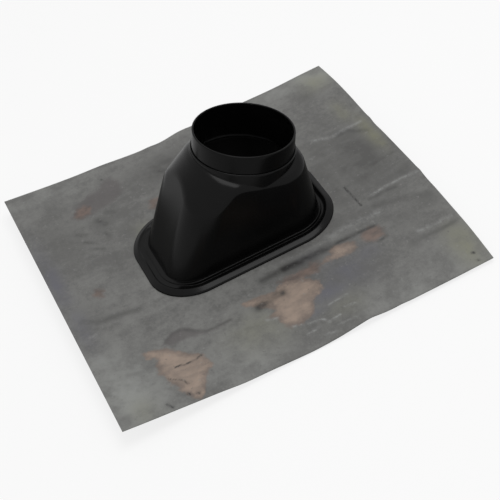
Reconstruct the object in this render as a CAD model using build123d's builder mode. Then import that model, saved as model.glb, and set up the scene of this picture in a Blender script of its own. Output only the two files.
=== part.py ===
"""Flue roof tile: a dressed lead sheet that carries a moulded hood and a leaning flue collar.

+Y runs up the roof slope, +X across it and +Z out of the roof. The origin is on the floor under the
middle of the sheet. Lengths are in millimetres and angles in degrees.
"""
import os
from math import cos, radians, sin, tan

from build123d import *

os.makedirs("parts", exist_ok=True)

# Flue collar: a tube that leans up the slope, plugged into the hood's neck until it stops on a ledge
COLLAR_DIAMETER = 131.0
COLLAR_WALL = 2.5
COLLAR_SHOWING = 25.0
COLLAR_SOCKETED = 24.0
COLLAR_LEAN = 17.5
COLLAR_OFFSET = 54.0
COLLAR_RISE = 140.5
RIM_CHAMFER = 0.6

# Neck socket: the thin sleeve of the hood that holds the collar
SOCKET_CLEARANCE = 0.2
SOCKET_WALL = 1.9
LEDGE_WIDTH = 2.5
LEDGE_DEPTH = 2.5

# Hood body: flat cheeks just outside the neck, a leaning lower end, an upright upper end, a crowned top
# An arch ratio is the rise of a roof face over its half width
WALL = 2.2
CHEEK_COVER = 0.4
BODY_LENGTH = 224.0
BODY_CORNER = 43.0
TAIL_CORNER = 40.0
TOP_HEIGHT = 160.0
END_LEAN = 29.5
HEAD_LEAN = 1.0
CROWN_DROP = 1.5
CROWN_ARCH_RATIO = 0.214
SHOULDER_SLOPE = 33.0
SHOULDER_ARCH_RATIO = 0.534
RIDGE_ROUND = 22.0
EDGE_ROUND = 12.0
ROOF_WALL = 5.0

# Hood flange: a crowned outer lip, a groove, and a low plinth under the body
SIDE_BORDER = 20.0
END_BORDER = 18.5
FLANGE_CORNER = 63.0
FLANGE_FLOOR = 2.4
LIP_WIDTH = 11.0
LIP_HEIGHT = 5.4
LIP_OUTER_BEVEL = 2.6
LIP_INNER_BEVEL = 2.0
PLINTH_LEDGE = 1.4
PLINTH_HEIGHT = 8.5
PLINTH_CHAMFER = 0.6

# Lead sheet: a square of rolled lead, flat under the flange and bent outside it
SHEET_SIDE = 500.0
SHEET_THICKNESS = 1.8
SHEET_GRID = 26
FLAT_MARGIN = 10.0
EDGE_HEIGHT = 1.0
WING_LIFT = 3.5
WING_RUN = 80.0
END_CURL = 12.0
CURL_POWER = 1.3
HEAD_RISE = 5.0
HOLE_CLEARANCE = 0.8
SEAT_CLEARANCE = 0.1

# Clamp frame: an upturned channel under the sheet, with a spigot that stands up into the hood
FRAME_DEPTH = 14.0
FRAME_WALL = 2.5
FRAME_SETBACK = 1.5
SPIGOT_RISE = 5.4
SPIGOT_CLEARANCE = 0.3
SPIGOT_HEADROOM = 0.6
POCKET_RELIEF = 0.4

# The stack from the floor up: frame, sheet, flange
sheet_under = FRAME_DEPTH + SEAT_CLEARANCE
sheet_top = sheet_under + SHEET_THICKNESS
flange_under = sheet_top + SEAT_CLEARANCE

# The collar's axis and the direction up the slope across its mouth
lean = radians(COLLAR_LEAN)
collar_axis = Vector(0, sin(lean), cos(lean))
across_mouth = Vector(0, cos(lean), -sin(lean))
mouth_centre = Vector(0, COLLAR_OFFSET, flange_under + COLLAR_RISE)
collar_radius = COLLAR_DIAMETER / 2
collar_length = COLLAR_SHOWING + COLLAR_SOCKETED
socket_bore = collar_radius + SOCKET_CLEARANCE
socket_radius = socket_bore + SOCKET_WALL

# Outlines that follow from the collar and the body
body_width = 2 * (socket_radius + CHEEK_COVER)
flange_width = body_width + 2 * SIDE_BORDER
flange_length = BODY_LENGTH + 2 * END_BORDER
pocket_inset = WALL - POCKET_RELIEF
spigot_inset = pocket_inset + SPIGOT_CLEARANCE


def below_mouth(distance):
    """The plane across the collar's axis at a distance down from its mouth."""
    return Plane(mouth_centre - collar_axis * distance, (1, 0, 0), collar_axis)


def body_outline(grow):
    """The foot of the hood body, a rounded rectangle, grown outwards all round."""
    return RectangleRounded(body_width + 2 * grow, BODY_LENGTH + 2 * grow, BODY_CORNER + grow)


def flange_outline(inset):
    """The edge of the hood flange, a rounded rectangle, drawn in all round."""
    return RectangleRounded(flange_width - 2 * inset, flange_length - 2 * inset, FLANGE_CORNER - inset)


def smooth(share):
    """A gentle step from 0 to 1 as share goes from 0 to 1."""
    held = min(1.0, max(0.0, share))
    return held * held * (3 - 2 * held)


def sheet_rise(x, y):
    """Height of the sheet's face over its flat middle: side wings droop and the lower end curls up."""
    half = SHEET_SIDE / 2
    flat_x = flange_width / 2 + FLAT_MARGIN
    flat_y = flange_length / 2 + FLAT_MARGIN
    out_x = max(0.0, abs(x) - flat_x) / (half - flat_x)
    out_y = max(0.0, abs(y) - flat_y) / (half - flat_y)
    middle = (END_CURL if y < 0 else HEAD_RISE) * out_y**2
    droop = sheet_under - EDGE_HEIGHT
    curl = (droop + END_CURL) * (max(0.0, -y) / half) ** CURL_POWER
    wing = curl - droop + WING_LIFT * smooth(y / WING_RUN)
    return middle + (wing - middle) * out_x**2


def hood_walls(inset):
    """The sides of the hood body: flat cheeks, a leaning tail and an upright head with round corners."""
    tail_low = -BODY_LENGTH / 2 + inset / cos(radians(END_LEAN))
    head_low = BODY_LENGTH / 2 - inset / cos(radians(HEAD_LEAN))
    tail_high = tail_low + TOP_HEIGHT * tan(radians(END_LEAN))
    head_high = head_low - TOP_HEIGHT * tan(radians(HEAD_LEAN))
    top = flange_under + TOP_HEIGHT
    with BuildPart() as walls:
        with BuildSketch(Plane.YZ):
            with BuildLine():
                Polyline(
                    (tail_low, flange_under),
                    (head_low, flange_under),
                    (head_high, top),
                    (tail_high, top),
                    close=True,
                )
            make_face()
        extrude(amount=body_width / 2 - inset, both=True)
        tail = walls.faces().sort_by(Axis.Y)[0]
        fillet(tail.edges().filter_by(Axis.X, reverse=True), TAIL_CORNER - inset)
        head = walls.faces().sort_by(Axis.Y)[-1]
        fillet(head.edges().filter_by(Axis.X, reverse=True), BODY_CORNER - inset)
    return walls.part


def hood_roof(inset):
    """The top of the hood body: an arched crown under the neck meets an arched shoulder along a ridge."""
    ridge = mouth_centre - collar_axis * (COLLAR_SHOWING + CROWN_DROP + inset) - across_mouth * socket_radius
    slope = radians(SHOULDER_SLOPE)
    down_shoulder = Vector(0, -cos(slope), -sin(slope))
    half = body_width / 2 + WALL
    arches = (
        (-across_mouth, CROWN_ARCH_RATIO, Mode.ADD),
        (down_shoulder, SHOULDER_ARCH_RATIO, Mode.INTERSECT),
    )
    with BuildPart() as roof:
        for direction, arch, mode in arches:
            rise = arch * half
            with BuildSketch(Plane(ridge, (1, 0, 0), direction)):
                with BuildLine():
                    ThreePointArc((-half, -rise), (0, 0), (half, -rise))
                    Polyline((half, -rise), (half, -flange_length), (-half, -flange_length), (-half, -rise))
                make_face()
            extrude(amount=flange_length, both=True, mode=mode)
    return roof.part


def hood_core(side_inset, roof_inset):
    """A space inside the hood body, with its own distances from the walls and from the roof."""
    with BuildPart() as core:
        add(hood_walls(side_inset))
        add(hood_roof(roof_inset), mode=Mode.INTERSECT)
    return core.part


def top_rim(form):
    """The edges of a hood body where its walls meet its roof."""
    floor = form.faces().sort_by(Axis.Z)[0]
    walls = form.faces().filter_by(lambda face: reaches(face, floor) and face != floor)
    return walls.edges().filter_by(lambda edge: not reaches(edge, floor))


def reaches(shape, floor):
    """Whether a face or an edge comes down to the level of the floor face."""
    return shape.bounding_box().min.Z < floor.center().Z + WALL


# The hood body's outside: the ridge is rounded first, then the edges where the roof meets the walls
with BuildPart() as hood_outside:
    add(hood_roof(0))
    crown, shoulder = hood_outside.faces().filter_by(GeomType.CYLINDER)
    fillet(crown.edges().filter_by(lambda edge: edge in shoulder.edges()), RIDGE_ROUND)
    add(hood_walls(0), mode=Mode.INTERSECT)
    fillet(top_rim(hood_outside), EDGE_ROUND)

# The space inside the hood body, stepped along its top so that it keeps clear of the rounded edges
with BuildPart() as hood_hollow:
    add(hood_core(WALL, EDGE_ROUND - WALL))
    add(hood_core(EDGE_ROUND - WALL, ROOF_WALL))

# Lead sheet: its bent face carried down by the sheet's thickness, then the hole for the spigot
with BuildPart() as lead_sheet:
    step = SHEET_SIDE / (SHEET_GRID - 1)
    marks = [step * n - SHEET_SIDE / 2 for n in range(SHEET_GRID)]
    points = [[(x, y, sheet_top + sheet_rise(x, y)) for y in marks] for x in marks]
    extrude(Face.make_surface_from_array_of_points(points), amount=SHEET_THICKNESS, dir=(0, 0, -1))
    with BuildSketch(Plane.XY):
        body_outline(HOLE_CLEARANCE - spigot_inset)
    extrude(amount=flange_under, mode=Mode.SUBTRACT)

# Clamp frame: outer skirt, top web against the sheet, and the spigot through the hole
with BuildPart() as clamp_frame:
    with BuildSketch(Plane.XY):
        flange_outline(FRAME_SETBACK)
    extrude(amount=FRAME_DEPTH)
    with BuildSketch(Plane.XY):
        flange_outline(FRAME_SETBACK + FRAME_WALL)
    extrude(amount=FRAME_DEPTH - FRAME_WALL, mode=Mode.SUBTRACT)
    with BuildSketch(Plane.XY):
        body_outline(-spigot_inset)
    extrude(amount=flange_under + SPIGOT_RISE)
    with BuildSketch(Plane.XY):
        body_outline(-spigot_inset - FRAME_WALL)
    extrude(amount=flange_under + SPIGOT_RISE, mode=Mode.SUBTRACT)

# Hood: flange and plinth, the hollow body, then the neck socket bored for the collar
with BuildPart() as hood:
    with BuildSketch(Plane.XY.offset(flange_under)):
        flange_outline(0)
    extrude(amount=LIP_HEIGHT)
    chamfer(hood.faces().sort_by(Axis.Z)[-1].edges(), LIP_OUTER_BEVEL)
    with BuildSketch(Plane.XY.offset(flange_under + FLANGE_FLOOR)):
        flange_outline(LIP_WIDTH)
    extrude(amount=LIP_HEIGHT - FLANGE_FLOOR, mode=Mode.SUBTRACT)
    chamfer(hood.faces().sort_by(Axis.Z)[-1].inner_wires().edges(), LIP_INNER_BEVEL)
    with BuildSketch(Plane.XY.offset(flange_under)):
        body_outline(PLINTH_LEDGE)
    extrude(amount=PLINTH_HEIGHT)
    chamfer(hood.faces().sort_by(Axis.Z)[-1].edges(), PLINTH_CHAMFER)
    add(hood_outside.part)
    add(hood_hollow.part, mode=Mode.SUBTRACT)
    with BuildSketch(Plane.XY.offset(flange_under)):
        body_outline(-pocket_inset)
    extrude(amount=SPIGOT_RISE + SPIGOT_HEADROOM, mode=Mode.SUBTRACT)
    with BuildSketch(below_mouth(collar_length + LEDGE_DEPTH)):
        Circle(socket_radius)
    extrude(amount=COLLAR_SOCKETED + LEDGE_DEPTH)
    with BuildSketch(below_mouth(collar_length)):
        Circle(socket_bore)
    extrude(amount=collar_length, mode=Mode.SUBTRACT)
    with BuildSketch(below_mouth(collar_length + LEDGE_DEPTH)):
        Circle(socket_bore - LEDGE_WIDTH)
    extrude(amount=collar_length, mode=Mode.SUBTRACT)

# Collar: a plain tube from the ledge to its mouth
with BuildPart() as collar:
    with BuildSketch(below_mouth(collar_length)):
        Circle(collar_radius)
        Circle(collar_radius - COLLAR_WALL, mode=Mode.SUBTRACT)
    extrude(amount=collar_length)
    chamfer(collar.faces().sort_by(Axis.Z)[-1].edges(), RIM_CHAMFER)

lead_sheet.part.label = "lead_sheet"
export_step(lead_sheet.part, "parts/lead_sheet.step")
clamp_frame.part.label = "clamp_frame"
export_step(clamp_frame.part, "parts/clamp_frame.step")
hood.part.label = "hood"
export_step(hood.part, "parts/hood.step")
collar.part.label = "collar"
export_step(collar.part, "parts/collar.step")
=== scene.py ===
# %% [markdown]
# # A flue roof tile
# A square of lead is dressed over a roof, a black moulded hood sits on it, and a short collar plugs into
# the hood's neck and seals round a flue pipe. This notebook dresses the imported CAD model: it loads the
# solids as a fixed frame, then draws each visible piece again as a fine surface in the same place.

import bpy
import numpy as np
from mathutils import Matrix, Vector


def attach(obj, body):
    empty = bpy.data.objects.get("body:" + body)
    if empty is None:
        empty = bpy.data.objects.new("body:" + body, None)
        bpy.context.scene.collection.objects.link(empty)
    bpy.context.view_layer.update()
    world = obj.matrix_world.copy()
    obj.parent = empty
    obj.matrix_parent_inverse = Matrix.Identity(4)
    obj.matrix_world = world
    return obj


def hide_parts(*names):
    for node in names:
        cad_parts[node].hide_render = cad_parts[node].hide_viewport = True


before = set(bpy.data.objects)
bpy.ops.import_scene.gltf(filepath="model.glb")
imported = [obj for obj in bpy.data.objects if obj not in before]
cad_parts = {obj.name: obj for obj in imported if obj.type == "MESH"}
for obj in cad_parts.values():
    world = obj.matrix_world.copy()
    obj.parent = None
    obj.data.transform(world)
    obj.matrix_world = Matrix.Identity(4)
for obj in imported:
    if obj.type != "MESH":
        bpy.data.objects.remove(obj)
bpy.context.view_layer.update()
MM = 0.001

# %% [markdown]
# ## From a grid of points to a mesh
# Every new piece here is a grid: rows of points that each go once round the piece, the last joined to the
# first. A grid could be filled face by face in a loop, but index arithmetic on whole arrays is shorter and
# quick. The points are worked out in millimetres, as on a drawing, and become metres only when they go into
# the mesh.


# %% Filling a grid with faces
def grid_faces(rows, columns):
    """Corner numbers of the four-sided faces of a grid that closes on itself both ways, like a ring."""
    row, column = np.arange(rows)[:, None], np.arange(columns)[None, :]
    here, below = row * columns, (row + 1) % rows * columns
    beside = (column + 1) % columns
    return np.stack([here + column, below + column, below + beside, here + beside], axis=-1).reshape(-1, 4)


def make_piece(name, points):
    """A smooth mesh object at the origin from a grid of points, shaped rows by columns by three."""
    rows, columns, _ = points.shape
    faces = grid_faces(rows, columns)
    mesh = bpy.data.meshes.new(name)
    mesh.vertices.add(rows * columns)
    mesh.vertices.foreach_set("co", (points * MM).astype(np.float32).ravel())
    mesh.loops.add(faces.size)
    mesh.loops.foreach_set("vertex_index", faces.astype(np.int32).ravel())
    mesh.polygons.add(len(faces))
    mesh.polygons.foreach_set("loop_start", np.arange(0, faces.size, 4, dtype=np.int32))
    mesh.polygons.foreach_set("use_smooth", np.ones(len(faces), dtype=bool))
    mesh.update(calc_edges=True)
    mesh.validate()
    piece = bpy.data.objects.new(name, mesh)
    bpy.context.scene.collection.objects.link(piece)
    print(name, "triangles", 2 * len(faces))
    return piece


# %% [markdown]
# ## The outlines
# The hood's flange, its plinth and the hole in the sheet are rounded rectangles with nearly the same
# straight runs. One walk round such an outline gives, for every column of the grid, a point on an inner
# rectangle and the direction straight out from it. Any of the outlines is then that rectangle, scaled, plus
# its corner radius along the direction, so columns of different outlines stay in step.

# %% Walking round a rounded rectangle
BODY_HALF = np.array([68.0, 112.0])
BODY_CORNER = 43.0
FLANGE_HALF = np.array([88.0, 130.5])
FLANGE_CORNER = 63.0
HOOD_COLUMNS = 420


def walk(half, corner, count):
    """Even steps round a rounded rectangle: runs and quarter circles in turn, from the middle of the +X side.

    Gives the place on the inner rectangle, from -1 to 1 on each axis, and the outward direction.
    """
    run = half - corner
    arc = np.pi / 2 * corner
    lengths = np.array([run[1], arc, 2 * run[0], arc, 2 * run[1], arc, 2 * run[0], arc, run[1]])
    ends = np.cumsum(lengths)
    along = (np.arange(count) + 0.5) / count * ends[-1]
    leg = np.searchsorted(ends, along)
    share = (along - (ends - lengths)[leg]) / lengths[leg]
    stops = np.array([(1, 0), (1, 1), (-1, 1), (-1, -1), (1, -1), (1, 0)], float)
    begin, finish = stops[(leg + 1) // 2], stops[leg // 2 + 1]
    angle = (leg // 2 + leg % 2 * share) * np.pi / 2
    return begin + (finish - begin) * share[:, None], np.stack([np.cos(angle), np.sin(angle)], axis=-1)


core, outward = walk(BODY_HALF, BODY_CORNER, HOOD_COLUMNS)


def body_ring(grow):
    """The outline of the hood body's foot, grown outwards by a distance."""
    return core * (BODY_HALF - BODY_CORNER) + outward * (BODY_CORNER + grow)


def flange_ring(inset):
    """The outline of the flange, drawn in by a distance."""
    return core * (FLANGE_HALF - FLANGE_CORNER) + outward * (FLANGE_CORNER - inset)


def at_height(ring, height):
    """A flat outline lifted to a height, as points in space."""
    return np.concatenate([ring, np.full((len(ring), 1), height)], axis=-1)


print("columns", HOOD_COLUMNS, "first outline point", body_ring(0)[0])

# %% [markdown]
# ## The hood body as a distance field
# The hood is flat cheeks, a leaning tail, an upright head and two arched roof faces that meet in a ridge,
# all with rounded edges. Modelling that with bevels is fragile, because bevels of different sizes meet at
# the corners. A field is easier: each face gives the distance of a point from it, and two distances are
# joined with a round edge of a chosen radius. The surface is where the field is zero.

# %% Faces and round joins
COLLAR_LEAN = np.radians(17.5)
SOCKET_RADIUS = 67.6
NECK_DROP = 25.0
CROWN_DROP = 1.5
NEARLY_PARALLEL = 0.999
MOUTH = np.array([0.0, 54.0, 156.5])
AXIS = np.array([0.0, np.sin(COLLAR_LEAN), np.cos(COLLAR_LEAN)])
ACROSS = np.array([0.0, np.cos(COLLAR_LEAN), -np.sin(COLLAR_LEAN)])
RIDGE = MOUTH - AXIS * (NECK_DROP + CROWN_DROP) - ACROSS * SOCKET_RADIUS


def flat_face(points, direction, offset):
    """Distance from a plane, and its direction: the points along the direction, less the plane's offset."""
    return points @ direction - offset, np.broadcast_to(direction, points.shape)


def arched_face(points, direction, radius):
    """Distance from a barrel that runs through the ridge, and its direction.

    The barrel's line lies a radius below the ridge. The distance is the hypotenuse of the sideways offset
    and the height over that line, less the radius. Below that line the arch goes straight down.
    """
    height = np.maximum((points - RIDGE) @ direction + radius, 0)
    reach = np.hypot(points[..., 0], height)
    slope = height[..., None] * direction
    slope[..., 0] = points[..., 0]
    return reach - radius, slope / reach[..., None]


def round_join(first, second, radius):
    """Two faces and a round edge: in its wedge, the distance from the circle's centre less the radius."""
    (a, a_way), (b, b_way) = first, second
    turn = np.clip(np.sum(a_way * b_way, axis=-1), -NEARLY_PARALLEL, NEARLY_PARALLEL)
    along_a = (a + radius - turn * (b + radius)) / (1 - turn**2)
    along_b = (b + radius - turn * (a + radius)) / (1 - turn**2)
    wedge = (along_a > 0) & (along_b > 0)
    way = along_a[..., None] * a_way + along_b[..., None] * b_way
    reach = np.linalg.norm(way, axis=-1)
    value = np.where(wedge, reach - radius, np.maximum(a, b))
    plain = np.where((a > b)[..., None], a_way, b_way)
    return value, np.where(wedge[..., None], way / np.maximum(reach, 1e-9)[..., None], plain)


print("ridge at", RIDGE.round(2))

# %% [markdown]
# The body is then a short list of faces and joins. The walls are joined first, then the two roof faces, and
# last the walls to the roof. To find the surface along a line, the stretch that holds it is halved again
# and again, for all lines at once.

# %% The body's field
FLANGE_UNDER = 16.0
END_LEAN = np.radians(29.5)
HEAD_LEAN = np.radians(1.0)
TAIL_CORNER = 40.0
SHOULDER_SLOPE = np.radians(33.0)
CROWN_ARCH = 171.5
SHOULDER_ARCH = 84.5
RIDGE_ROUND = 22.0
EDGE_ROUND = 12.0
TAIL_SOFTNESS, SOFT_FROM, SOFT_RUN = 10.0, -15.0, 45.0
HALVINGS = 34


def gentle_step(share):
    """A smooth step from 0 to 1."""
    held = np.clip(share, 0, 1)
    return held * held * (3 - 2 * held)


def body_field(points):
    """The hood body: cheeks joined to the tail and the head, crown to shoulder, and the walls to the roof.

    The last round grows towards the tail, where the moulding flows without an edge.
    """
    side = np.where(points[..., :1] < 0, -1.0, 1.0) * np.array([1.0, 0.0, 0.0])
    cheek = np.abs(points[..., 0]) - BODY_HALF[0], side
    tail_way = np.array([0.0, -np.cos(END_LEAN), np.sin(END_LEAN)])
    head_way = np.array([0.0, np.cos(HEAD_LEAN), np.sin(HEAD_LEAN)])
    tail = flat_face(points, tail_way, np.array([0, -BODY_HALF[1], FLANGE_UNDER]) @ tail_way)
    head = flat_face(points, head_way, np.array([0, BODY_HALF[1], FLANGE_UNDER]) @ head_way)
    low, high = round_join(cheek, tail, TAIL_CORNER), round_join(cheek, head, BODY_CORNER)
    nearer = low[0] > high[0]
    walls = np.where(nearer, low[0], high[0]), np.where(nearer[..., None], low[1], high[1])
    down_way = np.array([0.0, -np.sin(SHOULDER_SLOPE), np.cos(SHOULDER_SLOPE)])
    roof = round_join(
        arched_face(points, AXIS, CROWN_ARCH), arched_face(points, down_way, SHOULDER_ARCH), RIDGE_ROUND
    )
    softness = TAIL_SOFTNESS * gentle_step((SOFT_FROM - points[..., 1]) / SOFT_RUN)
    return round_join(walls, roof, EDGE_ROUND + softness)


def where_crossed(start, direction, reach, field):
    """The point along each line where a field turns positive, by halving the stretch that holds it."""
    low = np.zeros(direction.shape[:-1])
    high = np.full(direction.shape[:-1], float(reach))
    for _ in range(HALVINGS):
        middle = (low + high) / 2
        outside = field(start + direction * middle[..., None]) > 0
        high = np.where(outside, middle, high)
        low = np.where(outside, low, middle)
    return start + direction * low[..., None]


print("field at the ridge", body_field(RIDGE[None])[0].round(3))

# %% [markdown]
# ## The neck
# The collar's socket is a thin sleeve that leans up the slope with the flue. It stands a little inside the
# cheeks, so its foot is a curve that dips far down both sides. That saddle is found by following lines
# parallel to the sleeve until each meets the body. The columns of the neck keep step with those of the foot
# by their angle round the body.

# %% The saddle where the neck meets the body
neck_turn = np.arctan2(body_ring(0)[:, 1] / BODY_HALF[1], body_ring(0)[:, 0] / BODY_HALF[0])


def neck_ring(radius, below):
    """A circle round the leaning axis, at a distance below the collar's mouth."""
    sideways = np.cos(neck_turn)[:, None] * np.array([1.0, 0.0, 0.0])
    return MOUTH - AXIS * below + radius * (sideways + np.sin(neck_turn)[:, None] * ACROSS)


NECK_SEARCH = 150.0
neck_deep = neck_ring(SOCKET_RADIUS, NECK_SEARCH)
up_the_neck = np.broadcast_to(AXIS, neck_deep.shape)


def over_flange(points):
    """The body field along the sleeve's lines, which start well inside the body or under it."""
    return np.where(points[..., 2] < FLANGE_UNDER + EDGE_ROUND, -1.0, body_field(points)[0])


saddle = where_crossed(neck_deep, up_the_neck, NECK_SEARCH, over_flange)
saddle_depth = (MOUTH - saddle) @ AXIS
print("saddle below the mouth, mm:", saddle_depth.min().round(1), "to", saddle_depth.max().round(1))

# %% [markdown]
# ## The hood's surface, row by row
# The whole moulding is one closed skin. It starts at the neck's lip, goes down the neck and over the body
# to the plinth, along the groove and over the rolled lip of the flange, under it, up through the hollow
# inside, and back up the socket's bore to the lip. Body rows lie on rays from a point inside: the body
# bulges everywhere, so each ray meets it once.

# %% Body rows
PLINTH_TOP = 22.2
HEART = np.array([0.0, 5.0, 62.0])
FOOT_STEP = 0.15
BODY_ROWS = 102
RAY_REACH = 220.0


def rays_between(centre, first, last, rows):
    """Directions from a centre that swing evenly from the points of one ring to those of another."""
    from_way = (first - centre) / np.linalg.norm(first - centre, axis=-1, keepdims=True)
    to_way = (last - centre) / np.linalg.norm(last - centre, axis=-1, keepdims=True)
    angle = np.arccos(np.clip(np.sum(from_way * to_way, axis=-1), -1, 1))[None, :, None]
    share = np.linspace(0, 1, rows)[:, None, None]
    return (np.sin((1 - share) * angle) * from_way + np.sin(share * angle) * to_way) / np.sin(angle)


def on_body(points):
    """The body field's value alone."""
    return body_field(points)[0]


foot_way = at_height(body_ring(0), 0.0) / np.linalg.norm(body_ring(0), axis=-1, keepdims=True)


def foot_at(height):
    """The body's outline at a height, found along flat lines from the middle."""
    middle = np.broadcast_to([0.0, 0.0, height], (HOOD_COLUMNS, 3))
    return where_crossed(middle, foot_way, RAY_REACH, on_body)


body_rays = rays_between(HEART, saddle, foot_at(PLINTH_TOP + FOOT_STEP), BODY_ROWS)
body_starts = np.broadcast_to(HEART, body_rays.shape)
body_rows = where_crossed(body_starts, body_rays, RAY_REACH, on_body)
print("body rows", body_rows.shape, "highest", body_rows[..., 2].max().round(2))

# %% [markdown]
# The flange is drawn as one flowing section and carried round: a small bead at the foot of the body, a
# shallow groove, a broad crowned lip and a rounded edge. A few drawn points and a smooth curve through them
# keep it free of the hard lines that separate steps would leave.

# %% Flange rows
# Each point: share of the border between the body's foot and the flange's edge, and height
BEAD = [(0.012, 22.2), (0.05, 22.2), (0.09, 22.2), (0.12, 21.8), (0.133, 21.0)]
GROOVE = [(0.142, 19.8), (0.15, 18.9), (0.165, 18.5), (0.20, 18.4), (0.28, 18.45), (0.36, 19.0)]
LIP = [
    (0.43, 20.1), (0.50, 21.2), (0.56, 21.7), (0.62, 21.7), (0.70, 21.15),
    (0.80, 20.3), (0.90, 19.4), (0.955, 18.7),
]
EDGE = [(0.985, 17.9), (1.0, 17.0), (0.995, 16.3)]
FLANGE_ROWS = 58
SHELF_SHARES = np.array([0.0, 0.04, 0.5])
GROOVE_FILL, GROOVE_END = 20.9, 0.58
FADE_FROM, FADE_RUN = -0.2, 0.6


def flowing(drawn, count):
    """A smooth curve through drawn points: on each span, the cubic that leaves along its neighbours' line."""
    knots = np.array(drawn, float)
    padded = np.concatenate([2 * knots[:1] - knots[1:2], knots, 2 * knots[-1:] - knots[-2:-1]])
    where = np.linspace(0, len(knots) - 1, count)
    span = np.minimum(where.astype(int), len(knots) - 2)
    t = (where - span)[:, None]
    before, here, there, after = (padded[span + n] for n in range(4))
    lean_out, lean_in = (there - before) / 2, (after - here) / 2
    return (
        here * (2 * t**3 - 3 * t**2 + 1) + lean_out * (t**3 - 2 * t**2 + t)
        + there * (3 * t**2 - 2 * t**3) + lean_in * (t**3 - t**2)
    )


def border_ring(share):
    """An outline between the body's foot, at 0, and the flange's edge, at 1."""
    return body_ring(0) * (1 - share) + flange_ring(0) * share


def upper_flange():
    """From the body's foot over bead, groove and lip to the flange's edge; the groove ends at the tail."""
    section = flowing(BEAD + GROOVE + LIP + EDGE, FLANGE_ROWS)
    rings = np.stack([at_height(border_ring(share), height) for share, height in section])
    share, height = section[:, :1], section[:, 1:]
    filled = np.where(share < GROOVE_END, np.maximum(height, GROOVE_FILL), height)
    rings[..., 2] += gentle_step((FADE_FROM - outward[:, 1]) / FADE_RUN) * (filled - height)
    foot = foot_at(PLINTH_TOP)
    shelf = foot + (rings[0] - foot) * SHELF_SHARES[:, None, None]
    return np.concatenate([shelf, rings])


upper_rows = upper_flange()
print("upper flange rows", upper_rows.shape, "highest", upper_rows[..., 2].max().round(2))

# %% [markdown]
# Under the flange the moulding is plain: a flat face that presses on the lead, and a pocket for the frame's
# spigot. Only its edges matter, and they are broken by a few tenths of a millimetre, as a mould maker would
# do.

# %% Underside rows
POCKET, POCKET_TOP, WALL = -1.8, 21.6, 2.2
UNDER_SHARES = (0.98, 0.9, 0.3)
UNDER_GROW = 1.0
EDGE_BREAK, TOP_BREAK = 0.3, 0.2


def under_flange():
    """The flange's underside, and the pocket for the frame's spigot up to the hollow."""
    sections = (
        [(border_ring(share), FLANGE_UNDER) for share in UNDER_SHARES]
        + [(body_ring(grow), FLANGE_UNDER) for grow in (UNDER_GROW, POCKET + EDGE_BREAK)]
        + [(body_ring(POCKET), height) for height in (FLANGE_UNDER + EDGE_BREAK, POCKET_TOP - TOP_BREAK)]
        + [(body_ring((POCKET - WALL) / 2), POCKET_TOP)]
    )
    return np.stack([at_height(ring, height) for ring, height in sections])


flange_rows = np.concatenate([upper_rows, under_flange()])
print("flange rows", flange_rows.shape, "lowest", flange_rows[..., 2].min())

# %% [markdown]
# The inside is the body drawn in by its wall, cut off by the plane of the ledge on which the collar stops.
# It is seen only from below, so it takes few rows.

# %% Inside rows and the socket
SOCKET_BORE = 65.7
LEDGE_BORE = 63.2
COLLAR_LENGTH = 49.0
LEDGE_DEPTH = 2.5
LEAD_IN = 0.4
INSIDE_ROUND = 2.0
INSIDE_ROWS = 40
NECK_ROWS = 10
INSIDE_HEART = np.array([0.0, 5.0, 55.0])


def inside_field(points):
    """The hollow: the body less its wall, joined to the plane under the ledge with a small round."""
    value, way = body_field(points)
    deck = flat_face(points, AXIS, (MOUTH - AXIS * (COLLAR_LENGTH + LEDGE_DEPTH)) @ AXIS)
    return round_join((value + WALL, way), deck, INSIDE_ROUND)[0]


def socket_rows():
    """Up the bore from the ledge to the lip, over it with a lead-in, and down the outside to the saddle."""
    bottom = COLLAR_LENGTH + LEDGE_DEPTH
    # radius, and depth below the collar's mouth
    section = [
        (LEDGE_BORE, bottom), (LEDGE_BORE, bottom - 0.3), (LEDGE_BORE, COLLAR_LENGTH + 0.2),
        (LEDGE_BORE + 0.2, COLLAR_LENGTH), (SOCKET_BORE - 0.2, COLLAR_LENGTH),
        (SOCKET_BORE, COLLAR_LENGTH - 0.2), (SOCKET_BORE, NECK_DROP + 9.0),
        (SOCKET_BORE, NECK_DROP + LEAD_IN + 0.2), (SOCKET_BORE + 0.1, NECK_DROP + LEAD_IN),
        (SOCKET_BORE + 0.4, NECK_DROP + 0.05),
        (SOCKET_BORE + 0.6, NECK_DROP), (SOCKET_RADIUS - 0.9, NECK_DROP + 0.1),
        (SOCKET_RADIUS - 0.3, NECK_DROP + 0.5), (SOCKET_RADIUS, NECK_DROP + 1.2),
    ]
    bore = np.stack([neck_ring(radius, below) for radius, below in section])
    share = np.linspace(0, 1, NECK_ROWS + 2)[1:-1, None, None]
    return np.concatenate([bore, bore[-1] + (saddle - bore[-1]) * share])


pocket_rim = at_height(body_ring(-WALL), POCKET_TOP + TOP_BREAK)
hole_rim = neck_ring(LEDGE_BORE + EDGE_BREAK, COLLAR_LENGTH + LEDGE_DEPTH)
inside_rays = rays_between(INSIDE_HEART, pocket_rim, hole_rim, INSIDE_ROWS)
inside_starts = np.broadcast_to(INSIDE_HEART, inside_rays.shape)
inside_rows = where_crossed(inside_starts, inside_rays, RAY_REACH, inside_field)
hood_parts = [body_rows, flange_rows, inside_rows, socket_rows()]
hood = make_piece("hood_moulding", np.concatenate(hood_parts))
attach(hood, "root")
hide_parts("hood")
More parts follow.
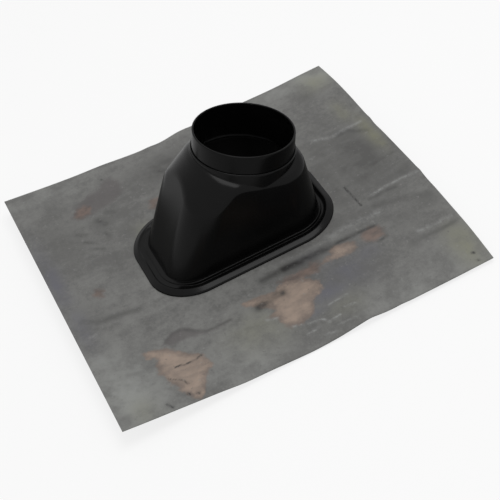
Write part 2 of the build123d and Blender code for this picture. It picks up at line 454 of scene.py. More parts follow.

# %% [markdown]
# The inside of a moulding comes off the core of the mould, which nobody polishes, so it is duller than the
# outside. Its colour is also painted near black there, as painted shade inside the hollow. One value for each
# point marks that side, and the material reads it later. Vertex colours or a second material would do too,
# but a named attribute keeps one finish for the whole moulding.


# %% Marking the core side
def store(piece, name, values):
    """Keep one value for each point of a piece under a name that its material can ask for."""
    layer = piece.data.attributes.new(name, "FLOAT", "POINT")
    layer.data.foreach_set("value", values.astype(np.float32).ravel())
    print(piece.name, name, "from", values.min().round(2), "to", values.max().round(2))


CORE_SIDE_DULL_AND_SHADED = (0.0, 0.0, 1.0, 0.0)
marks = [np.full(part.shape[:2], mark) for part, mark in zip(hood_parts, CORE_SIDE_DULL_AND_SHADED)]
store(hood, "core_side_dull_and_shaded", np.concatenate(marks))

# %% [markdown]
# ## The collar
# The collar is a plain tube with softly rounded rims, so it is a section turned round the leaning axis. A
# Screw or Spin would do the same; a table of radius and depth keeps the section readable.

# %% Turning the collar
COLLAR_RADIUS = 65.5
COLLAR_BORE = 63.0
RIM_ROUND, RIM_STEPS = 1.0, 7
TUBE_ROWS, FOOT_BREAK = 13, 0.4
COLLAR_COLUMNS = 280


def collar_points():
    """The tube's section, outside down from the rim and inside up again, turned round the axis."""
    corner = np.radians(np.linspace(90, 0, RIM_STEPS))
    over, depth = RIM_ROUND * np.cos(corner), RIM_ROUND * (1 - np.sin(corner))
    outer = np.stack([COLLAR_RADIUS - RIM_ROUND + over, depth], 1)
    inner = np.stack([COLLAR_BORE + RIM_ROUND - over, depth], 1)
    depths = np.linspace(RIM_ROUND, COLLAR_LENGTH - FOOT_BREAK, TUBE_ROWS + 1)[1:]
    down = np.stack([np.full_like(depths, COLLAR_RADIUS), depths], 1)
    up = np.stack([np.full_like(depths, COLLAR_BORE), depths], 1)[::-1]
    foot_radii = np.array([COLLAR_RADIUS - EDGE_BREAK, COLLAR_BORE + EDGE_BREAK])
    foot_edges = np.stack([foot_radii, np.full(2, COLLAR_LENGTH)], 1)
    section = np.concatenate([outer, down, foot_edges, up, inner[::-1]])
    turn = (np.arange(COLLAR_COLUMNS) / COLLAR_COLUMNS * 2 * np.pi)[:, None]
    sideways = np.cos(turn) * np.array([1.0, 0.0, 0.0]) + np.sin(turn) * ACROSS
    return MOUTH - AXIS * section[:, 1, None, None] + section[:, 0, None, None] * sideways


collar = make_piece("flue_collar", collar_points())
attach(collar, "root")
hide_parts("collar")

# %% [markdown]
# ## The lead sheet
# Lead is soft: the square keeps every bend that packing and dressing gave it. It lies flat under the
# flange, droops at both sides and curls up at its lower end. The broad form is the one of the solid; the
# creases, dents and slow ripples are added here. A cloth simulation would be too springy for lead, so the
# bends are written down as heights over the plan.

# %% The form of the sheet
SHEET_HALF = 250.0
SHEET_TOP = 15.9
SHEET_THICKNESS = 1.8
FLAT = FLANGE_HALF + 10.0
END_CURL, HEAD_RISE, SIDE_DROOP = 12.0, 5.0, 13.1
WING_LIFT, WING_RUN, CURL_POWER = 3.5, 80.0, 1.3


def broad_form(x, y):
    """The solid's own form: the middle rises at both ends, the wings droop and curl, width blends them."""
    out_x = np.maximum(0, np.abs(x) - FLAT[0]) / (SHEET_HALF - FLAT[0])
    out_y = np.maximum(0, np.abs(y) - FLAT[1]) / (SHEET_HALF - FLAT[1])
    middle = np.where(y < 0, END_CURL, HEAD_RISE) * out_y**2
    curl = (SIDE_DROOP + END_CURL) * (np.maximum(0, -y) / SHEET_HALF) ** CURL_POWER
    wing = curl - SIDE_DROOP + WING_LIFT * gentle_step(y / WING_RUN)
    return middle + (wing - middle) * out_x**2


print("sheet's sides droop", SIDE_DROOP, "mm; its lower end curls up", END_CURL, "mm")

# %% [markdown]
# Dents and creases are what makes it look like lead. Each dent is a soft bell, each crease a bell across a
# line, and a few slow waves stand for the rest. They fade out at the flange, which holds the sheet flat.
# Sculpting would give the same, but a short table can be read and changed.

# %% Dents and creases
# Dents: where, half lengths across and along the slope, height
DENTS = np.array([
    (-95, 250, 62, 55, -4.5), (196, 252, 36, 50, 1.8), (55, 252, 48, 50, 1.8), (252, 72, 55, 26, 2.6),
    (-252, 18, 60, 26, 4.6), (-252, 160, 60, 45, -2.0), (-252, -100, 60, 30, 1.4), (252, -93, 50, 26, -1.6),
    (140, 115, 30, 60, -1.4), (-170, -150, 40, 40, 0.8), (200, 205, 45, 35, -1.2), (30, 205, 55, 30, -1.6),
], float)
# Creases: start, end, half width, height
CREASES = np.array([
    (-92, 140, -80, 250, 7, 1.5), (-70, 150, -62, 245, 12, -1.2), (60, 168, 66, 250, 7, 1.5),
    (80, 175, 88, 240, 11, -1.1), (22, 153, 70, 155, 5, -0.9), (103, 5, 112, 150, 7, -1.7),
    (124, 70, 122, 165, 8, 1.2), (150, -140, 182, -105, 7, -0.8), (-178, -150, -120, -172, 9, -0.7),
    (175, 40, 246, 78, 10, 0.9), (-246, -30, -180, -10, 10, 1.1), (205, 95, 250, 120, 8, 0.8),
], float)
SLOW_RIPPLE, FINE_RIPPLE = 0.28, 0.07
CALM_FROM, CALM_RUN = 1.0, 16.0


def from_runs(x, y, start, end):
    """Distance from each of several straight runs: to the nearest place on it, held between its ends."""
    run = end - start
    dx, dy = x[..., None] - start[:, 0], y[..., None] - start[:, 1]
    share = np.clip((dx * run[:, 0] + dy * run[:, 1]) / np.sum(run**2, axis=-1), 0, 1)
    return np.hypot(dx - share * run[:, 0], dy - share * run[:, 1])


def hand_marks(x, y):
    """Dents are bell shapes, creases are bells across a line, and ripples are a few slow waves."""
    across, along = (x[..., None] - DENTS[:, 0]) / DENTS[:, 2], (y[..., None] - DENTS[:, 1]) / DENTS[:, 3]
    dents = np.sum(DENTS[:, 4] * np.exp(-(across**2) - along**2), axis=-1)
    off = from_runs(x, y, CREASES[:, 0:2], CREASES[:, 2:4]) / CREASES[:, 4]
    creases = np.sum(CREASES[:, 5] * np.exp(-(off**2)), axis=-1)
    slow = np.sin(x / 31 + 1.3 * np.sin(y / 47)) * np.sin(y / 38 + 0.7)
    fine = np.sin(x / 13 + np.sin(y / 29)) * np.cos(y / 17 + x / 41)
    return dents + creases + SLOW_RIPPLE * slow + FINE_RIPPLE * fine


def past_outline(plan, half, corner):
    """How far a point of the plan lies outside a rounded rectangle: past the inner one, less the corner."""
    past = np.abs(plan) - (half - corner)
    return np.linalg.norm(np.maximum(past, 0), axis=-1) + np.minimum(past.max(-1), 0) - corner


def sheet_height(x, y):
    """Height of the sheet's upper face: the broad form plus the marks, which fade out under the flange."""
    clear = past_outline(np.stack([x, y], -1), FLANGE_HALF, FLANGE_CORNER)
    return SHEET_TOP + broad_form(x, y) + hand_marks(x, y) * gentle_step((clear - CALM_FROM) / CALM_RUN)


two_corners = np.array([-SHEET_HALF, SHEET_HALF])
print("sheet at two corners", sheet_height(two_corners, two_corners).round(1))

# %% [markdown]
# The sheet's grid runs from the hole to the square edge, with columns that fan out from the middle and meet
# the four corners exactly. The upper face takes many rows for its creases, the hidden under face only a
# few.

# %% The sheet's grid
SIDE_STEPS = 220
TOP_ROWS, UNDER_ROWS = 84, 14
HOLE_GROW = -1.3
HOLE_BREAK, FIRST_ROW = 0.003, 0.008
CUT_ROUND = 0.4
EDGE_TRIM = 0.5 / SHEET_HALF
CUT_SHORT_HIGH = np.array([2.0, 3.6])
CUT_SHORT_LOW = np.array([0.2, 1.2])


def square_edge():
    """Points along the square's edge, in even steps along each side, from the corner at +X, -Y.

    Lead is cut by hand, so each side is a little short of the full square, by its own amount.
    """
    step = np.arange(SIDE_STEPS) / SIDE_STEPS * 2 - 1
    one = np.ones_like(step)
    sides = [(one, step), (-step, one), (-one, -step), (step, -one)]
    square = np.concatenate([np.stack(side, 1) for side in sides]) * SHEET_HALF
    return square * (1 - np.where(square > 0, CUT_SHORT_HIGH, CUT_SHORT_LOW) / SHEET_HALF)


def hole_edge(edge):
    """Where the line from the middle to each edge point crosses the hole, by halving the stretch."""
    flat_edge = np.concatenate([edge, np.zeros((len(edge), 1))], axis=-1)

    def past_hole(points):
        """Distance outside the hole, which is a little smaller than the body's foot."""
        return past_outline(points[..., :2], BODY_HALF, BODY_CORNER) - HOLE_GROW

    return where_crossed(np.zeros_like(flat_edge), flat_edge, 1.0, past_hole)[:, :2]


def sheet_points():
    """Upper face from the hole out, round the edge, and the under face back to the hole."""
    edge = square_edge()
    hole = hole_edge(edge)
    top = np.linspace(FIRST_ROW, 1 - 3 * EDGE_TRIM, TOP_ROWS)
    under = np.linspace(1 - 4 * EDGE_TRIM, FIRST_ROW, UNDER_ROWS)
    rim = [1 - EDGE_TRIM, 1, 1, 1 - EDGE_TRIM]
    shares = np.concatenate([[HOLE_BREAK], top, rim, under, [0.0, 0.0]])
    low = SHEET_THICKNESS - CUT_ROUND
    under_drop = np.full(UNDER_ROWS + 1, SHEET_THICKNESS)
    drop = np.concatenate([np.zeros(TOP_ROWS + 2), [CUT_ROUND, low], under_drop, [low, CUT_ROUND]])
    plan = hole + (edge - hole) * shares[:, None, None]
    height = sheet_height(plan[..., 0], plan[..., 1]) - drop[:, None]
    return np.concatenate([plan, height[..., None]], axis=-1)


sheet_grid = sheet_points()
sheet = make_piece("lead_sheet_dressed", sheet_grid)
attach(sheet, "root")
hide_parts("lead_sheet")

# %% [markdown]
# ## Writing shaders as sums
# A node tree is easier to read as arithmetic. This class wraps one output socket; adding or multiplying
# wires places Math nodes, and one method places any other node, with its settings first and then its
# sockets.


# %% A socket that does arithmetic
class Wire:
    """One output of a node tree. Arithmetic on wires adds Math nodes; node() adds any other node."""

    def __init__(self, tree, socket=None):
        self.tree = tree
        self.socket = socket

    def node(self, kind, settings, sockets, output=0):
        """Place a node of a kind, set its settings, then give its sockets values or links."""
        placed = self.tree.nodes.new(kind)
        for name, value in settings.items():
            setattr(placed, name, value)
        for name, value in sockets.items():
            if isinstance(value, Wire):
                self.tree.links.new(value.socket, placed.inputs[name])
            else:
                placed.inputs[name].default_value = value
        return Wire(self.tree, placed.outputs[output] if placed.outputs else None)

    def math(self, operation, first, second):
        """A Math node on two values."""
        return self.node("ShaderNodeMath", {"operation": operation}, {0: first, 1: second})

    def __add__(self, other):
        return self.math("ADD", self, other)

    def __radd__(self, other):
        return self.math("ADD", other, self)

    def __sub__(self, other):
        return self.math("SUBTRACT", self, other)

    def __rsub__(self, other):
        return self.math("SUBTRACT", other, self)

    def __mul__(self, other):
        return self.math("MULTIPLY", self, other)

    def __rmul__(self, other):
        return self.math("MULTIPLY", other, self)

    def between(self, low, high):
        """A smooth step of this value, 0 at low and 1 at high."""
        step = {"interpolation_type": "SMOOTHSTEP"}
        return self.node("ShaderNodeMapRange", step, {0: self, 1: low, 2: high})

    def noise(self, scale, detail=3.0, roughness=0.55):
        """Noise over this wire's vector."""
        sockets = {"Vector": self, "Scale": scale, "Detail": detail, "Roughness": roughness}
        return self.node("ShaderNodeTexNoise", {}, sockets)

    def tint(self, first, second):
        """A colour mixed from first to second by this value."""
        return self.node("ShaderNodeMix", {"data_type": "RGBA"}, {0: self, 6: first, 7: second}, output=2)


print("wires do arithmetic")

# %% [markdown]
# Every finish starts in the same way: an empty material, the point on the piece in metres, and at the end
# the shader into the output. Object coordinates are used, so a pattern keeps its real size and stays on the
# piece.


# %% Starting a finish
def new_finish(name):
    """An empty material, and a wire to start its nodes from."""
    material = bpy.data.materials.new(name)
    material.use_nodes = True
    material.node_tree.nodes.clear()
    return material, Wire(material.node_tree)


def object_place(start, stretch=(1.0, 1.0, 1.0), turn=0.0):
    """The point on the piece in metres, stretched or turned for streaks."""
    place = start.node("ShaderNodeTexCoord", {}, {}, output=3)
    return place.node("ShaderNodeMapping", {}, {"Vector": place, "Scale": stretch, "Rotation": (0, 0, turn)})


def principled(start, sockets):
    """Blender's all-round shader with these sockets."""
    return start.node("ShaderNodeBsdfPrincipled", {}, sockets)


def show(start, shader):
    """A shader into the material's output."""
    start.node("ShaderNodeOutputMaterial", {}, {"Surface": shader})


print("finishes start from an empty tree")

# %% [markdown]
# ## Black moulded plastic
# The hood and the collar are polypropylene from a polished mould: near black, with a soft gloss that shows
# broad reflections. Real mouldings are never even: they have a faint orange peel, dull patches where they
# were handled, fine rubs, and a little grey dust in corners. All of that is small here, because the
# photograph shows a new part. A plain glossy shader mirrors nearly everything at a grazing angle, which
# this plastic doesn't, so the gloss is only a share of the surface, mixed with a matt black body.


# %% Plastic finishes
RUBBED = (0.012, 0.012, 0.0125, 1)
DUST = (0.06, 0.058, 0.055, 1)
# painted shade: the near black painted on the hood's inside
CORE_PAINTED_SHADE = (0.0006, 0.0006, 0.0006, 1)
PEEL_DEPTH = 0.0004
GLOSS_LEVEL = 0.22


def moulded_plastic(name, black, gloss, peel, shine):
    """Near-black plastic: cloudy roughness, stretched rubs, specks of dust and a shallow orange peel."""
    material, start = new_finish(name)
    place = object_place(start)
    cloud = place.noise(14.0, 4.0)
    rubs = object_place(start, (40.0, 300.0, 300.0), 0.5).noise(1.0, 3.0, 0.7).between(0.62, 0.78)
    dust = place.noise(900.0, 2.0, 0.6).between(0.70, 0.80) * cloud.between(0.45, 0.65)
    deep, thin = (black * 0.7, black * 0.7, black * 0.72, 1), (black * 1.3, black * 1.3, black * 1.3, 1)
    worn = (0.25 * rubs).tint(cloud.between(0.3, 0.7).tint(deep, thin), RUBBED)
    core_side_dull_and_shaded = start.node("ShaderNodeAttribute", {"attribute_name": "core_side_dull_and_shaded"}, {}, output=2)
    # the inside is painted near black as painted shade in the hollow, and is also made rougher
    dust_and_inside_shade = (0.30 * dust).tint(core_side_dull_and_shaded.tint(worn, CORE_PAINTED_SHADE), DUST)
    rough = gloss + 0.10 * (cloud - 0.5) + 0.12 * rubs + 0.15 * dust + 0.5 * core_side_dull_and_shaded
    skin = place.noise(420.0, 2.0) * 0.6 + place.noise(60.0, 2.0) * 0.4
    bump = place.node("ShaderNodeBump", {}, {"Strength": peel, "Distance": PEEL_DEPTH, "Height": skin})
    matt = start.node("ShaderNodeBsdfDiffuse", {}, {"Color": dust_and_inside_shade, "Normal": bump})
    sockets = {"Base Color": dust_and_inside_shade, "Roughness": rough, "Normal": bump, "Specular IOR Level": GLOSS_LEVEL}
    show(start, start.node("ShaderNodeMixShader", {}, {0: shine, 1: matt, 2: principled(start, sockets)}))
    return material


hood.data.materials.append(moulded_plastic("hood_black", black=0.0022, gloss=0.21, peel=0.08, shine=0.55))
collar.data.materials.append(moulded_plastic("collar_black", black=0.0020, gloss=0.19, peel=0.05, shine=0.44))
frame_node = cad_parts["clamp_frame"]
frame_node.data.materials.clear()
frame_finish = moulded_plastic("frame_black", black=0.0060, gloss=0.52, peel=0.20, shine=1.0)
frame_node.data.materials.append(frame_finish)
print("plastics on", hood.name, collar.name, frame_node.name)

# %% [markdown]
# ## Stains, painted shade and painted light on the lead
# Lead comes from the roll bright and soon goes dull grey. Where damp sat between the layers it grows tan
# and reddish oxide in sharp-edged patches; rain leaves soft washes of blue and olive; dirt gathers in a few
# streaks and scratches show bright metal. Darker grey washes are painted shade, where the sheet turns away
# from the light and beside the hood; lighter grey washes are painted light, where it turns towards it. The
# folds carry painted shade, and the ridges of creases carry painted highlights. The places belong to this
# one sheet, so they are drawn on the plan in millimetres: patches as outlines, folds and scratches as lines,
# washes as soft ellipses. A painted image would do the same, but a drawing stays sharp and small, and noise
# in the material breaks its edges up.

# %% Oxide patches
PATCHES = {
    "tan": [
        [(136, -185), (139, -165), (144, -153), (165, -140), (178, -123), (193, -118), (203, -115),
         (215, -126), (225, -134), (239, -142), (246, -148), (242, -157), (232, -160), (207, -170),
         (182, -177), (166, -176), (158, -172), (147, -182)],
        [(133, -46), (136, -26), (137, -4), (132, 12), (136, 37), (155, 53), (169, 49), (184, 33),
         (199, 23), (209, 6), (204, -11), (191, -16), (183, -17), (174, -30), (168, -16), (161, -21),
         (151, -33), (137, -47)],
        [(114, 86), (112, 96), (119, 111), (124, 121), (135, 118), (139, 111), (138, 95), (136, 82),
         (134, 70), (137, 62), (135, 59), (128, 70), (125, 82)],
    ],
    "rust": [
        [(119, 131), (112, 143), (116, 153), (128, 157), (138, 156), (139, 143), (133, 130), (126, 126)],
        [(-160, -175), (-172, -167), (-177, -153), (-168, -147), (-158, -154), (-153, -167)],
        [(-111, -80), (-125, -72), (-125, -61), (-105, -69)],
        [(5, -202), (-5, -195), (1, -187), (12, -192)],
        [(130, 68), (124, 56), (126, 30), (128, 8), (140, 12), (144, 44), (142, 60)],
    ],
    "mauve": [
        [(-161, -178), (-179, -166), (-189, -153), (-196, -139), (-197, -127), (-209, -116),
         (-213, -103), (-199, -94), (-173, -97), (-159, -114), (-155, -126), (-153, -144), (-153, -166)],
        [(138, -157), (127, -141), (125, -126), (138, -115), (149, -102), (150, -89), (150, -69),
         (152, -101), (147, -121), (144, -140), (147, -148)],
    ],
}
print("oxide patches", {stain_and_painted_light: len(outlines) for stain_and_painted_light, outlines in PATCHES.items()})

# %% [markdown]
# Folds carry broad, soft painted shade, with a few dark streaks of dirt; dirt marks are narrow and dark;
# the pale lines are scratches of bare metal and painted highlights on the ridges of creases. All three are
# chains of straight runs, and their noise in the material hides the corners.

# %% Folds with painted shade, dirt, scratches and painted ridge highlights
# Each line: half width, strength, places
LINES = {
    # painted shade in the folds and creases, with a few dark streaks of dirt
    "fold_shade_and_dirt": [
        (6.0, 0.5, [(114, -8), (112, 24)]), (7.5, 0.8, [(112, 24), (112, 46), (111, 89)]),
        (4.5, 0.65, [(111, 89), (111, 125), (113, 150)]), (7.0, 0.85, [(152, -30), (147, 4)]),
        (3.0, 0.45, [(136, -152), (127, -139), (127, -126), (139, -115)]),
        (2.5, 0.4, [(139, -115), (149, -101), (150, -68)]),
        (4.0, 0.35, [(170, 193), (173, 215), (173, 237)]),
        (6.0, 0.34, [(46, -230), (54, -208), (56, -181), (61, -158)]),
        (4.0, 0.2, [(164, -212), (169, -184)]), (4.0, 0.36, [(-79, 194), (-77, 210), (-61, 231)]),
        (3.0, 0.45, [(66, 170), (66, 191), (69, 207)]), (2.5, 0.26, [(9, 207), (8, 236)]),
        (7.0, 0.28, [(82, 172), (93, 202), (109, 233)]),
    ],
    "dark": [
        (1.1, 1.0, [(182, -157), (185, -140), (185, -131), (181, -121)]),
        (1.0, 0.55, [(196, -171), (207, -157), (217, -153)]), (1.6, 0.7, [(234, -188), (243, -183)]),
        (1.4, 0.7, [(22, 154), (69, 156)]), (2.0, 0.5, [(140, 157), (142, 144)]),
        (4.0, 0.4, [(-143, -131), (-138, -122)]), (4.5, 0.4, [(-136, -148), (-122, -141)]),
        (3.0, 0.35, [(-106, -148), (-97, -144)]), (4.0, 0.4, [(-124, -181), (-117, -172)]),
        (3.5, 0.35, [(-104, -178), (-96, -168)]), (3.5, 0.3, [(-86, -174), (-76, -160)]),
        (4.0, 0.4, [(-183, -43), (-174, -30)]), (3.0, 0.5, [(-217, -115), (-216, -114)]),
        (1.8, 0.9, [(231, -160), (233, -158)]), (1.8, 0.9, [(236, -149), (237, -148)]),
        (2.0, 0.8, [(228, 229), (229, 230)]), (2.0, 0.8, [(241, 229), (242, 230)]),
    ],
    # scratches of bare metal, and painted highlights along the ridges of creases
    "scratch_and_ridge_highlight": [
        (5.0, 0.3, [(97, 98), (94, 120), (94, 147), (95, 170)]),
        (2.5, 0.55, [(-88, 161), (-80, 187), (-82, 208), (-82, 232)]),
        (2.5, 0.6, [(62, 176), (59, 198), (61, 219), (67, 244)]),
        (3.0, 0.4, [(158, 193), (161, 215), (161, 237)]), (1.5, 0.7, [(210, 10), (211, 20)]),
        (1.5, 0.8, [(213, 25), (216, 30)]), (1.5, 0.8, [(222, 33), (221, 49)]),
        (1.3, 0.7, [(215, 58), (216, 72)]), (1.4, 0.7, [(224, 2), (222, 18)]),
        (1.3, 0.6, [(200, 44), (198, 70)]), (1.6, 0.8, [(176, -32), (181, -18)]),
        (1.5, 0.7, [(203, -8), (207, 4)]), (1.4, 0.5, [(232, 40), (236, 62)]),
        (1.4, 0.5, [(236, 20), (239, 34)]), (2.0, 0.5, [(78, -232), (70, -215)]),
        (2.0, 0.5, [(95, 164), (97, 170)]),
    ],
}
print("lines", {stain_and_painted_light: len(lines) for stain_and_painted_light, lines in LINES.items()})

# %% [markdown]
# Washes have no edge at all: each is a soft ellipse, and where several overlap the strongest counts.

# %% Washes
# Each wash: middle, half lengths across and along the slope, strength
WASHES = {
    # painted shade: darker grey where the sheet turns away from the light and beside the hood
    "painted_shade": [
        (-15, 195, 85, 42, 0.85), (-185, -25, 34, 60, 0.85), (-120, -205, 70, 36, 0.45),
        (60, 195, 40, 40, 0.35), (168, 90, 34, 42, 0.45), (182, 58, 24, 26, 0.35), (-60, -238, 60, 14, 0.4),
        (-190, 195, 26, 20, 0.5), (110, 40, 16, 50, 0.3), (128, 92, 20, 50, 0.3), (-170, 60, 60, 60, 0.5),
        (215, 10, 30, 40, 0.3), (40, -215, 40, 30, 0.25), (-40, -150, 50, 16, 0.3), (120, 228, 18, 22, 0.5),
        (169, 180, 14, 16, 0.5), (48, 230, 24, 20, 0.6), (122, 190, 14, 18, 0.4), (-84, -120, 26, 20, 0.5),
        (-130, -146, 28, 22, 0.5), (-58, 160, 40, 26, 0.6), (10, 140, 70, 22, 0.65), (78, 112, 26, 26, 0.5),
        (87, 155, 22, 22, 0.45), (124, 50, 14, 30, 0.6), (181, 30, 14, 18, 0.35), (125, 195, 75, 55, 0.25),
    ],
    # painted light: lighter grey where the sheet turns towards the light
    "painted_light": [
        (200, -225, 70, 50, 0.75), (-228, 225, 26, 28, 1.0), (-223, 190, 14, 22, 0.7),
        (-237, 147, 14, 30, 0.6), (225, 225, 36, 40, 0.45), (-235, -190, 30, 70, 0.35),
        (240, 130, 24, 60, 0.3), (130, -236, 26, 18, 0.5), (225, -70, 40, 50, 0.35),
    ],
    "blue": [
        (182, 55, 22, 24, 1.0), (165, 85, 26, 34, 0.6), (-54, -239, 70, 12, 0.6), (60, -235, 40, 12, 0.5),
        (150, 125, 14, 14, 0.6), (200, 30, 8, 20, 0.6), (112, 60, 8, 20, 0.4),
    ],
    "olive": [
        (-217, 222, 24, 22, 0.7), (-122, 222, 22, 10, 0.7), (-55, 233, 40, 9, 0.9), (-18, 235, 16, 7, 0.7),
        (213, 228, 34, 18, 0.9), (185, -40, 30, 40, 0.5), (205, 60, 24, 24, 0.4), (-75, -100, 20, 12, 0.4),
        (230, -215, 20, 16, 0.4),
    ],
}


print("washes", {stain_and_painted_light: len(spots) for stain_and_painted_light, spots in WASHES.items()})

# %% [markdown]
# The drawing goes on the sheet as one value for each point and each kind of mark, the stains and the
# painted light and shade alike: the depth inside a patch in millimetres, or a strength from 0 to 1 that
# falls off as a bell. The sheet's grid is fine enough to carry them, and they stay on the lead from any side.

# %% Keeping the stains and the painted light and shade on the sheet
PATCH_REACH = 20


def to_line(x, y, places):
    """Distance from a chain of straight runs: the smallest distance from any of them."""
    return from_runs(x, y, np.array(places[:-1], float), np.array(places[1:], float)).min(axis=-1)


def patch_depth(x, y, corners):
    """Depth inside an outline: a line from an inside point crosses the outline an odd number of times."""
    closed = corners + corners[:1]
    a, b = np.array(closed[:-1], float), np.array(closed[1:], float)
    spans = (a[:, 1] > y[..., None]) != (b[:, 1] > y[..., None])
    rise = np.where(b[:, 1] == a[:, 1], 1.0, b[:, 1] - a[:, 1])
    ahead = x[..., None] < a[:, 0] + (b[:, 0] - a[:, 0]) * (y[..., None] - a[:, 1]) / rise
    inside = np.sum(spans & ahead, axis=-1) % 2 == 1
    return np.where(inside, 1.0, -1.0) * to_line(x, y, closed)


plan_x, plan_y = sheet_grid[..., 0], sheet_grid[..., 1]
for stain_and_painted_light, outlines in PATCHES.items():
    depths = [patch_depth(plan_x, plan_y, corners) for corners in outlines]
    store(sheet, stain_and_painted_light, np.clip(np.max(depths, axis=0), -PATCH_REACH, PATCH_REACH))
for stain_and_painted_light, lines in LINES.items():
    bells = [force * np.exp(-((to_line(plan_x, plan_y, run) / half) ** 2)) for half, force, run in lines]
    store(sheet, stain_and_painted_light, np.max(bells, axis=0))
for stain_and_painted_light, spots in WASHES.items():
    reaches = [((plan_x - x) / a) ** 2 + ((plan_y - y) / b) ** 2 for x, y, a, b, _ in spots]
    bells = [spot[-1] * np.exp(-reach) for spot, reach in zip(spots, reaches)]
    store(sheet, stain_and_painted_light, np.max(bells, axis=0))

# %% [markdown]
# The grey itself comes from several sizes of noise: broad clouds of oxide, a blotchy mottle, faint streaks
# along the slope from the rolls, and fine grain. The washes, patches and lines are laid over it one by one.
# The grain and the mottle also go into a shallow bump, so they catch the light.


# %% The lead finish
GREY = (0.107, 0.106, 0.102, 1), (0.180, 0.180, 0.172, 1)
# painted light and painted shade: the colours of the lighter and darker grey washes
PAINTED_LIGHT, PAINTED_SHADE = (0.245, 0.250, 0.238, 1), (0.077, 0.076, 0.073, 1)
BLUE, OLIVE, MAUVE = (0.108, 0.108, 0.134, 1), (0.185, 0.185, 0.125, 1), (0.092, 0.083, 0.083, 1)
RUST = (0.090, 0.066, 0.058, 1), (0.185, 0.130, 0.106, 1)
TAN_EDGE = (0.140, 0.110, 0.094, 1), (0.215, 0.168, 0.140, 1)
TAN_HEART = (0.225, 0.176, 0.144, 1), (0.330, 0.254, 0.202, 1)
# painted shade for the folds, dark for dirt marks, and bare metal that also paints highlights on crease
# ridges
FOLD_SHADE_AND_DIRT, DARK_MARK, BARE_METAL_AND_RIDGE_HIGHLIGHT = (0.030, 0.029, 0.028, 1), (0.024, 0.023, 0.023, 1), (0.30, 0.305, 0.30, 1)
DARK_SPECK, PALE_SPECK = (0.085, 0.083, 0.080, 1), (0.24, 0.24, 0.235, 1)
MOTTLE_DEPTH = 0.0008


def dull_lead():
    """Dull grey lead: clouds, mottle, streaks and grain, then washes, oxide patches, folds and scratches."""
    material, start = new_finish("rolled_lead")
    place = object_place(start)
    ragged = 0.6 * place.noise(34.0, 7.0, 0.68) + 0.4 * place.noise(130.0, 4.0, 0.6) - 0.5
    cloud = place.noise(9.0, 4.0, 0.6)
    mottle = place.noise(30.0, 5.0, 0.62)
    patchy = object_place(start, (1.0, 0.6, 1.0), 0.2).noise(60.0, 3.0, 0.6)
    streak = object_place(start, (60.0, 8.0, 40.0), 0.03).noise(1.0, 4.0, 0.6)
    flecked = place.noise(150.0, 4.0, 0.65) * 1.6 - 0.3
    grain = place.noise(420.0, 3.0, 0.6)

    def stored(name):
        """A value kept on the sheet's points."""
        return start.node("ShaderNodeAttribute", {"attribute_name": name}, {}, output=2)

    def patch(name, spread, soft):
        """A patch with its edge moved in and out by noise, in millimetres."""
        return (stored(name) + spread * ragged).between(-soft, soft)

    def broken(name, breaks):
        """A line or wash, strong where a noise is and weak between."""
        return stored(name) * (0.45 + 1.1 * breaks.between(0.3, 0.7))

    grey = (0.24 * cloud + 0.35 * mottle + 0.17 * streak + 0.12 * flecked + 0.12 * grain).between(0.40, 0.60)
    base = grey.tint(*GREY)
    # painted light: the lighter grey washes
    base = broken("painted_light", mottle).tint(base, PAINTED_LIGHT)
    # painted shade: the darker grey washes
    base = broken("painted_shade", mottle).tint(base, PAINTED_SHADE)
    base = (0.85 * broken("blue", mottle)).tint(base, BLUE)
    base = (0.60 * broken("olive", mottle)).tint(base, OLIVE)
    base = (0.70 * patch("mauve", 22.0, 5.0)).tint(base, MAUVE)
    base = (0.80 * patch("rust", 32.0, 5.0)).tint(base, patchy.between(0.35, 0.68).tint(*RUST))
    blotch = patchy.between(0.3, 0.7)
    heart = (stored("tan") + 40.0 * ragged).between(-1.0, 11.0)
    tan = heart.tint(blotch.tint(*TAN_EDGE), blotch.tint(*TAN_HEART))
    base = (0.92 * patch("tan", 30.0, 2.6)).tint(base, tan)
    # painted shade in the folds and creases, with a few dark streaks of dirt
    base = broken("fold_shade_and_dirt", mottle).tint(base, FOLD_SHADE_AND_DIRT)
    base = broken("dark", flecked).tint(base, DARK_MARK)
    # bare metal in scratches, and painted highlights on the ridges of creases
    base = (0.65 * broken("scratch_and_ridge_highlight", flecked)).tint(base, BARE_METAL_AND_RIDGE_HIGHLIGHT)
    specks = place.noise(170.0, 2.0, 0.5)
    base = (0.40 * specks.between(0.66, 0.76)).tint(base, DARK_SPECK)
    base = (0.30 * specks.between(0.34, 0.26)).tint(base, PALE_SPECK)
    rough = 0.58 + 0.16 * (cloud - 0.5) + 0.10 * (streak - 0.5)
    height = 0.25 * streak + 0.4 * grain + 1.0 * mottle
    bump = place.node("ShaderNodeBump", {}, {"Strength": 0.3, "Distance": MOTTLE_DEPTH, "Height": height})
    sockets = {"Base Color": base, "Roughness": rough, "Normal": bump, "Specular IOR Level": 0.35}
    show(start, principled(start, sockets))
    return material


sheet.data.materials.append(dull_lead())
print("lead nodes", len(sheet.data.materials[0].node_tree.nodes))

# %% [markdown]
# ## Floor, light and camera
# The tile was photographed on white. The floor is plain white and shows to the camera and in reflections
# mostly as a white card of strength 1, which keeps a soft trace of the shadow; under the hood it stays in
# shade. The light is a soft panel overhead, a little up the slope, over an even white surround.

# %% The floor
FLOOR_HALF = 6.0
FLOOR_WHITE = (0.86, 0.86, 0.86, 1)
CARD_SHARE = 0.8
SHADE_UNDER = (0.10, 0.14)
OVAL = (1.0, 0.6, 1.0)


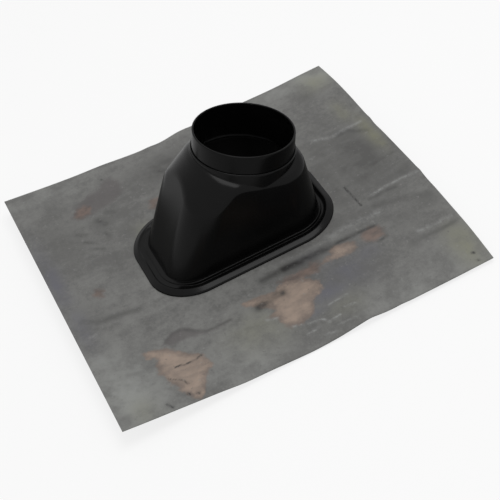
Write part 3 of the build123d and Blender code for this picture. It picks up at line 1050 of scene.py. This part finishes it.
def white_card(start, lit, share):
    """Seen straight, in gloss or through glass, a share of plain white covers the lit floor."""
    path = start.node("ShaderNodeLightPath", {}, {}, output=0)
    glossy = Wire(start.tree, path.socket.node.outputs[3])
    through = Wire(start.tree, path.socket.node.outputs[6])
    seen = path.math("MAXIMUM", path, path.math("MAXIMUM", glossy, through)) * share
    white = start.node("ShaderNodeEmission", {}, {"Color": (1, 1, 1, 1), "Strength": 1.0})
    return start.node("ShaderNodeMixShader", {}, {0: seen, 1: lit, 2: white})


floor_corners = [(x * FLOOR_HALF, y * FLOOR_HALF, 0) for x, y in ((-1, -1), (1, -1), (1, 1), (-1, 1))]
floor_mesh = bpy.data.meshes.new("floor")
floor_mesh.from_pydata(floor_corners, [], [(0, 1, 2, 3)])
floor = bpy.data.objects.new("floor", floor_mesh)
bpy.context.scene.collection.objects.link(floor)
floor_finish, start = new_finish("white_floor")
lit_floor = start.node("ShaderNodeBsdfDiffuse", {}, {"Color": FLOOR_WHITE})
oval = object_place(start, OVAL)
from_middle = start.node("ShaderNodeVectorMath", {"operation": "LENGTH"}, {0: oval}, output=1)
show(start, white_card(start, lit_floor, CARD_SHARE * from_middle.between(*SHADE_UNDER)))
floor_mesh.materials.append(floor_finish)
print("floor", 2 * FLOOR_HALF, "m square")

# %% The surround
SURROUND = 0.55
world = bpy.data.worlds.new("white_surround")
bpy.context.scene.world = world
world.use_nodes = True
world.node_tree.nodes.clear()
start = Wire(world.node_tree)
even = start.node("ShaderNodeBackground", {}, {"Color": (1, 1, 1, 1), "Strength": SURROUND})
start.node("ShaderNodeOutputWorld", {}, {"Surface": white_card(start, even, 1.0)})
print("surround strength", SURROUND)

# %% The soft panel
PANEL_PLACE = Vector((0.1, 0.45, 2.1))
PANEL_TARGET = Vector((0.0, 0.0, 0.05))
PANEL_SIDE, PANEL_WATTS = 1.3, 19.0
panel = bpy.data.lights.new("soft_panel", "AREA")
panel.shape = "SQUARE"
panel.size = PANEL_SIDE
panel.energy = PANEL_WATTS
panel_object = bpy.data.objects.new("soft_panel", panel)
panel_object.location = PANEL_PLACE
panel_object.rotation_euler = (PANEL_TARGET - PANEL_PLACE).to_track_quat("-Z", "Y").to_euler()
bpy.context.scene.collection.objects.link(panel_object)
print("panel power", panel.energy)

# %% [markdown]
# The camera stands high at the lower right, with a long lens and its picture rolled, as if the tile lay on
# a pitched roof: the slope line rises to the right. Its place came from fitting the sheet's corners, the
# flange and the rim of the collar.

# %% Camera
CAMERA_PLACE = Vector((1.4609, -0.2764, 1.30525))
CAMERA_TARGET = Vector((0.0542, 0.0037, 0.016))
CAMERA_ROLL = np.radians(-18.61)
CAMERA_STEP = -0.0022
LENS, SENSOR = 108.18, 36.0
forward = (CAMERA_TARGET - CAMERA_PLACE).normalized()
level = forward.cross(Vector((0, 0, 1))).normalized()
upright = level.cross(forward)
right = level * np.cos(CAMERA_ROLL) + upright * np.sin(CAMERA_ROLL)
up = right.cross(forward)
lens = bpy.data.cameras.new("camera")
lens.sensor_fit = "HORIZONTAL"
lens.sensor_width = SENSOR
lens.lens = LENS
camera = bpy.data.objects.new("camera", lens)
camera.matrix_world = Matrix((right, up, -forward)).transposed().to_4x4()
camera.location = CAMERA_PLACE + right * CAMERA_STEP
bpy.context.scene.collection.objects.link(camera)
bpy.context.scene.camera = camera
bpy.context.scene.view_settings.view_transform = "Standard"
print("camera", round((CAMERA_TARGET - CAMERA_PLACE).length, 2), "m away, lens", LENS)
